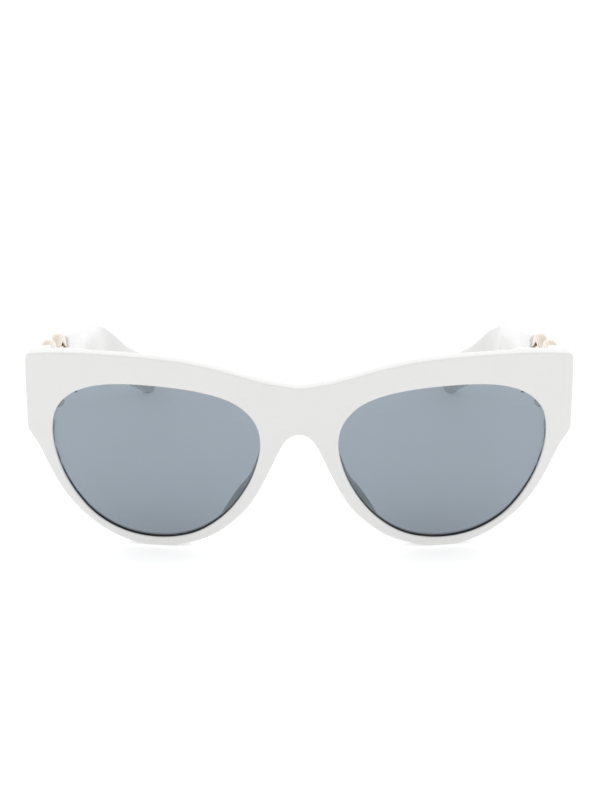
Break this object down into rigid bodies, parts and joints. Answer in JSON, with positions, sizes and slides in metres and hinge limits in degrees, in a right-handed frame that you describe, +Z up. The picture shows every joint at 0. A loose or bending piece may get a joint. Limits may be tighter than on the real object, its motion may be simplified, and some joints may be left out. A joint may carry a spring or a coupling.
{
  "type": "cat eye sunglasses",
  "caption": "Cat eye sunglasses: white acetate front with straight brow, grey-blue tinted lenses, gold chain-link ornaments at the hinges and folding white temples.",
  "frame": {"origin": "bottom centre of the whole object, standing open on its two lower rims and its two temple tips", "axes": "+X across the front to the wearer's left, +Y from the front towards the temple tips, +Z up; the front faces -Y"},
  "size_m": [0.1488, 0.1349, 0.0551],
  "materials": {
    "white_acetate": "polished",
    "tinted_lens": "polished",
    "pale_gold": "polished plating",
    "steel": "satin"
  },
  "bodies": {
    "front": {"front_frame": "white_acetate", "lens_left": "tinted_lens", "lens_right": "tinted_lens", "nose_pad_left": "white_acetate", "nose_pad_right": "white_acetate", "front_hinge_leaf_left": "pale_gold", "front_leaf_rivet_upper_left": "steel", "front_leaf_rivet_lower_left": "steel", "hinge_screw_left": "steel", "front_hinge_leaf_right": "pale_gold", "front_leaf_rivet_upper_right": "steel", "front_leaf_rivet_lower_right": "steel", "hinge_screw_right": "steel"},
    "temple_left": {"temple_hinge_leaf_left": "pale_gold", "link_carrier_left": "pale_gold", "front_link_left": "pale_gold", "rear_link_left": "pale_gold", "front_link_screw_left": "steel", "rear_link_screw_left": "steel", "temple_arm_left": "white_acetate", "core_wire_left": "steel", "arm_screw_front_left": "steel", "arm_screw_rear_left": "steel"},
    "temple_right": {"temple_hinge_leaf_right": "pale_gold", "link_carrier_right": "pale_gold", "front_link_right": "pale_gold", "rear_link_right": "pale_gold", "front_link_screw_right": "steel", "rear_link_screw_right": "steel", "temple_arm_right": "white_acetate", "core_wire_right": "steel", "arm_screw_front_right": "steel", "arm_screw_rear_right": "steel"}
  },
  "joints": [
    {"name": "hinge_left", "type": "hinge", "parent": "front", "child": "temple_left", "pos_m": [0.0654, -0.05297, 0.0464], "axis": [0, 0, 1], "range_deg": [0, 83]},
    {"name": "hinge_right", "type": "hinge", "parent": "front", "child": "temple_right", "pos_m": [-0.0654, -0.05297, 0.0464], "axis": [0, 0, -1], "range_deg": [0, 72]}
  ]
}
